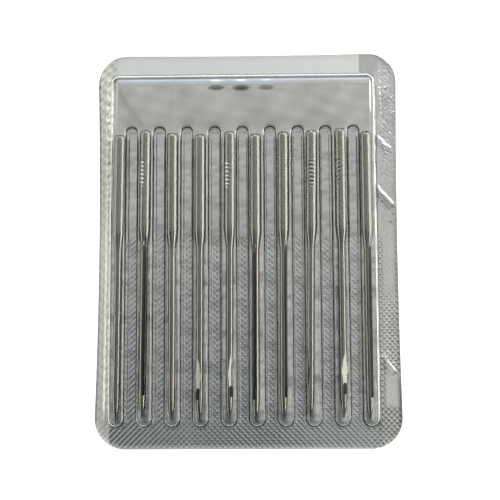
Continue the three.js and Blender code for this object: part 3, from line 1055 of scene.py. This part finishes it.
def streaks_group():
    """Fine streaks, as a value: noise drawn out along Y, for rolled foil and ground steel."""
    name = "Fine streaks"
    if name in bpy.data.node_groups:
        return bpy.data.node_groups[name]
    group = bpy.data.node_groups.new(name, "ShaderNodeTree")
    group.interface.new_socket("Vector", in_out="INPUT", socket_type="NodeSocketVector")
    group.interface.new_socket("Fineness", in_out="INPUT", socket_type="NodeSocketFloat")
    group.interface.new_socket("Stretch", in_out="INPUT", socket_type="NodeSocketFloat")
    group.interface.new_socket("Value", in_out="OUTPUT", socket_type="NodeSocketFloat")
    graph = Graph(group)
    source = graph.node("NodeGroupInput").outputs
    x, y, z = graph.node("ShaderNodeSeparateXYZ", Vector=source["Vector"]).outputs
    drawn_out = graph.calculated("DIVIDE", y, source["Stretch"])
    place = graph.node("ShaderNodeCombineXYZ", X=x, Y=drawn_out, Z=z).outputs[0]
    noise = graph.node(
        "ShaderNodeTexNoise", Vector=place, Scale=source["Fineness"], Detail=3.0, Roughness=0.6)
    graph.node("NodeGroupOutput", Value=noise.outputs["Fac"])
    return group


def streaks(graph, vector, fineness, stretch):
    """The streaks group placed in a material with its own values."""
    node = graph.node("ShaderNodeGroup", node_tree=streaks_group())
    return graph.fill(node, Vector=vector, Fineness=fineness, Stretch=stretch).outputs["Value"]


def clear_sheet_material():
    """Clear sheet: glossy and refracting, slightly uneven as a formed film. Light passes through it."""
    tint = user_colours().clear_tint
    material, graph, shader, output = new_material("clear_formed_sheet")
    place = graph.node("ShaderNodeTexCoord").outputs["Object"]
    uneven = graph.bumped(graph.noise(place, 420.0, 2.0), 0.06, Strength=0.05)
    graph.fill(shader, Base_Color=tint, Roughness=0.03, IOR=1.5, Transmission_Weight=1.0, Normal=uneven)
    path = graph.node("ShaderNodeLightPath")
    through = graph.node("ShaderNodeBsdfTransparent", Color=tint)
    mix = graph.node("ShaderNodeMixShader", Fac=path.outputs["Is Shadow Ray"])
    graph.feed(mix.inputs[1], shader.outputs[0])
    graph.feed(mix.inputs[2], through.outputs[0])
    graph.feed(output.inputs["Surface"], mix.outputs[0])
    return material


def knurl_lines(graph, place, heading):
    """Rounded ridges across a heading, one for each knurl pitch, as a value from 0 to 1."""
    turn = 2.0 * math.pi / user_sizes().knurl_pitch
    along = graph.dot(place, (turn * math.cos(heading), turn * math.sin(heading), 0.0))
    return graph.mapped(graph.calculated("COSINE", along), -1.0, 1.0)


def knurl_height(graph, place, x):
    """The seal's fine knurl: weak lines one way on the left, crossed by others towards the right."""
    lines = knurl_lines(graph, place, -math.pi / 4.0)
    cross_lines = knurl_lines(graph, place, math.pi / 4.0)
    uncrossed = graph.mapped_mm(x, *CROSSING, 0.75, 0.0)
    crossing = graph.mixed(uncrossed, cross_lines, 1.0, "FLOAT")
    return graph.product(lines, crossing, graph.mapped_mm(x, *CROSSING, 0.6, 1.0))


def foil_material():
    """Aluminium foil: rolling streaks and fine grain, duller where it is sealed, a duller left edge tinted
    with a painted cream reflection, one pale smooth strip.
    """
    colours = user_colours()
    left_x = TRAY_LOW[0]
    material, graph, shader, _ = new_material("aluminium_foil")
    place = graph.node("ShaderNodeTexCoord").outputs["Object"]
    x, y, _ = graph.node("ShaderNodeSeparateXYZ", Vector=place).outputs
    lower = graph.mapped_mm(y, PEEL_Y + 0.5, PEEL_Y - 3.0)
    side = graph.mapped_mm(x, left_x + 1.7, left_x + 2.1, 1.0, 0.0)
    strip = graph.product(
        graph.mapped_mm(y, FAR_WALL_Y + 1.0, FAR_WALL_Y + 1.3),
        graph.product(graph.mapped_mm(x, -19.6, -17.6), graph.mapped_mm(x, 15.1, 15.4, 1.0, 0.0)))

    colour = graph.mixed(graph.attribute("dull"), colours.open_foil, colours.sealed_foil)
    colour = graph.mixed(lower, colours.foil, colour)
    uneven = graph.mapped(graph.noise(place, 160.0, 4.0), 0.3, 0.7, 0.0, 0.18)
    colour = graph.mixed(uneven, colour, (0.42, 0.43, 0.44))
    # The left edge's cream tint is a painted reflection of the warm side light on duller foil
    colour = graph.mixed(side, colour, colours.side_foil_and_reflection)
    colour = graph.mixed(strip, colour, colours.pale_strip)
    toned = graph.node(
        "ShaderNodeVectorMath", operation="SCALE",
        Scale=graph.calculated("ADD", graph.attribute("tone"), 1.0))
    graph.feed(toned.inputs[0], colour)

    roughness = graph.mapped(streaks(graph, place, 2600.0, 14.0), 0.3, 0.7, 0.11, 0.17)
    roughness = graph.mixed(side, roughness, 0.42, "FLOAT")
    roughness = graph.mixed(strip, roughness, 0.42, "FLOAT")

    # Fine grain all over, pebbles on the side flanges, and the knurl where it is sealed
    right_pebbles = graph.product(
        graph.mapped_mm(x, LAST_X + 1.5, LAST_X + 2.0, 0.0, 0.45), graph.mapped_mm(y, -4.0, 16.0, 0.2, 1.0))
    left_pebbles = graph.mapped_mm(x, left_x + 1.3, left_x + 1.7, 0.14, 0.0)
    pebbles = graph.calculated("ADD", right_pebbles, left_pebbles)
    normal = graph.bumped(graph.noise(place, 5200.0, 2.0), 0.006, Strength=0.1)
    normal = graph.bumped(graph.noise(place, 3600.0, 1.0), 0.16, Strength=pebbles, Normal=normal)
    normal = graph.bumped(
        knurl_height(graph, place, x), 0.018, Strength=graph.attribute("seal"), Normal=normal)
    graph.fill(shader, Base_Color=toned.outputs[0], Metallic=1.0, Roughness=roughness, Normal=normal)
    return material


def needle_material():
    """Plated steel: ground lengthwise, turned marks on the shanks, faint stains, painted shade in the
    grooves, the eyes and some ticks, and painted highlight on the other ticks.
    """
    material, graph, shader, _ = new_material("plated_needle_steel")
    place = graph.node("ShaderNodeTexCoord").outputs["Object"]
    _, y, _ = graph.node("ShaderNodeSeparateXYZ", Vector=place).outputs
    shade = graph.attribute("shade")
    # Painted shade: the shade attribute turns grooves, eyes and dark ticks near black and rough
    dark = graph.mapped(shade, 0.0, 1.0)
    # Painted highlight: negative shade turns the pale ticks pale
    pale = graph.mapped(shade, 0.0, -1.0)
    stained = graph.mapped(graph.noise(place, 700.0, 4.0), 0.5, 0.75, 0.0, 0.35)
    colour = graph.mixed(stained, user_colours().needle_steel, (0.30, 0.285, 0.25))
    colour = graph.mixed(dark, colour, (0.02, 0.02, 0.018))
    colour = graph.mixed(pale, colour, (0.9, 0.9, 0.87))
    roughness = graph.mapped(streaks(graph, place, 5200.0, 30.0), 0.3, 0.7, 0.04, 0.1)
    roughness = graph.mixed(dark, roughness, 0.5, "FLOAT")
    on_shank = graph.mapped_mm(y, PEEL_Y - 2.0, PEEL_Y + 1.0, 0.08, 1.0)
    normal = graph.bumped(streaks(graph, place, 1400.0, 0.25), 0.035, Strength=on_shank)
    graph.fill(
        shader, Base_Color=colour, Metallic=1.0, Roughness=roughness, Specular_Tint=(0.03, 0.03, 0.03),
        Normal=normal)
    return material


def floor_material():
    """Pale floor, bright enough to stay plain under the dim sky."""
    material, graph, shader, _ = new_material("pale_floor")
    graph.fill(
        shader, Base_Color=user_colours().floor, Roughness=0.9, Emission_Color=(1.0, 1.0, 1.0),
        Emission_Strength=0.72)
    return material


# Floor, light and camera

CAMERA_PLACE = (3.70, -19.12, 148.73)
CAMERA_TURN = (7.194, 1.334, -0.249)
CAMERA_LENS = 80.738
FLOOR_SIZE = 1600.0
FLOOR_DROP = 0.02
# Soft lights: name, place and size across and up in millimetres, radiance and colour
LIGHTS = (
    ("light_right", (430, 120, 230), (600, 400), 2.5, (1.0, 0.96, 0.91)),
    ("light_left", (-430, 90, 210), (640, 270), 1.35, (0.97, 1.0, 0.88)),
    ("light_far", (0, 430, 330), (800, 200), 1.9, (0.86, 0.92, 1.0)),
)
# Brightness of the sky's parts
SKY_HORIZON = (0.012, 0.012, 0.012)
SKY_OVERHEAD = (0.54, 0.53, 0.50)
SKY_FAR = (0.9, 0.95, 1.0)
SKY_RIGHT = (0.68, 0.66, 0.62)
SKY_NEAR = (0.125, 0.14, 0.15)
SKY_FLANKS = (0.03, 0.032, 0.032)
SKY_BEHIND = (0.05, 0.055, 0.06)
SKY_BEHIND_LOW = (0.42, 0.42, 0.41)


def studio_sky():
    """Grey soft sky: dark at the horizon, bright far off and on the right, dim and cool on the near side.

    Each part is a mask of eased steps along the heading's X, Y and Z.
    """
    world = bpy.data.worlds.new("soft_studio")
    world.use_nodes = True
    graph = Graph(world.node_tree)
    heading = graph.node("ShaderNodeTexCoord").outputs["Generated"]
    x, y, z = graph.node("ShaderNodeSeparateXYZ", Vector=heading).outputs
    colour = graph.mixed(graph.mapped(z, 0.45, 0.86), SKY_HORIZON, SKY_OVERHEAD)

    # A round patch halfway up the far side, full up to 10 degrees from its middle and gone at 28
    from_far = graph.dot(heading, (0.0, math.sqrt(0.5), math.sqrt(0.5)))
    far = graph.mapped(from_far, math.cos(math.radians(28.0)), math.cos(math.radians(10.0)))
    colour = graph.mixed(far, colour, SKY_FAR)
    right = graph.product(graph.mapped(x, 0.12, 0.30), graph.mapped(z, 0.55, 0.86))
    colour = graph.mixed(right, colour, SKY_RIGHT)

    # The near side, bounded by a slanting line on its left
    aslant = graph.mapped(graph.calculated("SUBTRACT", y, x), 0.16, 0.30, 1.0, 0.0)
    left = graph.mapped(x, -0.01, 0.10, 1.0, 0.0)
    near = graph.product(graph.mapped(y, 0.08, 0.16, 1.0, 0.0), graph.product(aslant, left))
    colour = graph.mixed(near, colour, SKY_NEAR)
    aside = graph.mapped(graph.calculated("ABSOLUTE", x), 0.32, 0.42)
    flanks = graph.product(graph.mapped(y, 0.10, 0.18, 1.0, 0.0), aside)
    colour = graph.mixed(flanks, colour, SKY_FLANKS)
    behind = graph.mixed(graph.mapped(z, 0.5, 0.62), SKY_BEHIND_LOW, SKY_BEHIND)
    colour = graph.mixed(graph.mapped(y, -0.3, -0.1, 1.0, 0.0), colour, behind)
    graph.fill(graph.nodes["Background"], Color=colour, Strength=1.0)
    bpy.context.scene.world = world


def soft_light(name, place, size, radiance, colour):
    """A rectangular soft light, sized in millimetres across and up, that faces the pack's middle."""
    light = bpy.data.lights.new(name, "AREA")
    light.shape = "RECTANGLE"
    light.size = size[0] * MM
    light.size_y = size[1] * MM
    light.energy = radiance * math.pi * light.size * light.size_y
    light.color = colour
    lamp = bpy.data.objects.new(name, light)
    lamp.location = np.array(place) * MM
    lamp.rotation_euler = (-lamp.location).to_track_quat("-Z", "Y").to_euler()
    lamp.visible_camera = False
    bpy.context.scene.collection.objects.link(lamp)


class NEEDLEPACK_OT_stage(bpy.types.Operator):
    """Pale floor, soft light and the camera"""

    bl_idname = "needlepack.stage"
    bl_label = "Stage"

    def execute(self, context):
        half = FLOOR_SIZE / 2.0
        x, y = np.meshgrid([-half, half], [-half, half])
        points = np.stack([x, y, np.full_like(x, -FLOOR_DROP)], axis=-1).reshape(-1, 3)
        floor = make_piece("floor", points, grid_quads(2, 2), floor_material(), 30.0)

        studio_sky()
        for light in LIGHTS:
            soft_light(*light)

        camera = bpy.data.cameras.new("camera")
        camera.lens = CAMERA_LENS
        camera.sensor_width = 36.0
        camera.clip_start = 0.001
        camera.clip_end = 20.0
        viewer = bpy.data.objects.new("camera", camera)
        viewer.location = np.array(CAMERA_PLACE) * MM
        viewer.rotation_euler = np.radians(CAMERA_TURN)
        context.scene.collection.objects.link(viewer)
        context.scene.camera = viewer
        context.scene.view_settings.view_transform = "Standard"
        return {"FINISHED"}


class NEEDLEPACK_PT_pieces(bpy.types.Panel):
    """Lists what makes up the pack"""

    bl_idname = "NEEDLEPACK_PT_pieces"
    bl_label = "Needle pack"
    bl_space_type = "VIEW_3D"
    bl_region_type = "UI"
    bl_category = "Needle pack"

    def draw(self, context):
        column = self.layout.column()
        for operator in OPERATORS:
            column.operator(operator.bl_idname)
        pack = context.scene.needle_pack
        for group in (pack.sizes, pack.colours):
            for name in group.bl_rna.properties.keys():
                if name not in ("rna_type", "name"):
                    column.prop(group, name)


OPERATORS = (NEEDLEPACK_OT_stage, NEEDLEPACK_OT_foil, NEEDLEPACK_OT_needles, NEEDLEPACK_OT_tray)
CLASSES = (NeedlePackSizes, NeedlePackColours, NeedlePack, *OPERATORS, NEEDLEPACK_PT_pieces)


def register():
    for item in CLASSES:
        bpy.utils.register_class(item)
    bpy.types.Scene.needle_pack = bpy.props.PointerProperty(type=NeedlePack)


def unregister():
    del bpy.types.Scene.needle_pack
    for item in reversed(CLASSES):
        bpy.utils.unregister_class(item)


def main():
    register()
    bpy.ops.needlepack.stage()
    bpy.ops.needlepack.foil()
    bpy.ops.needlepack.needles()
    bpy.ops.needlepack.tray()


if __name__ == "__main__":
    main()
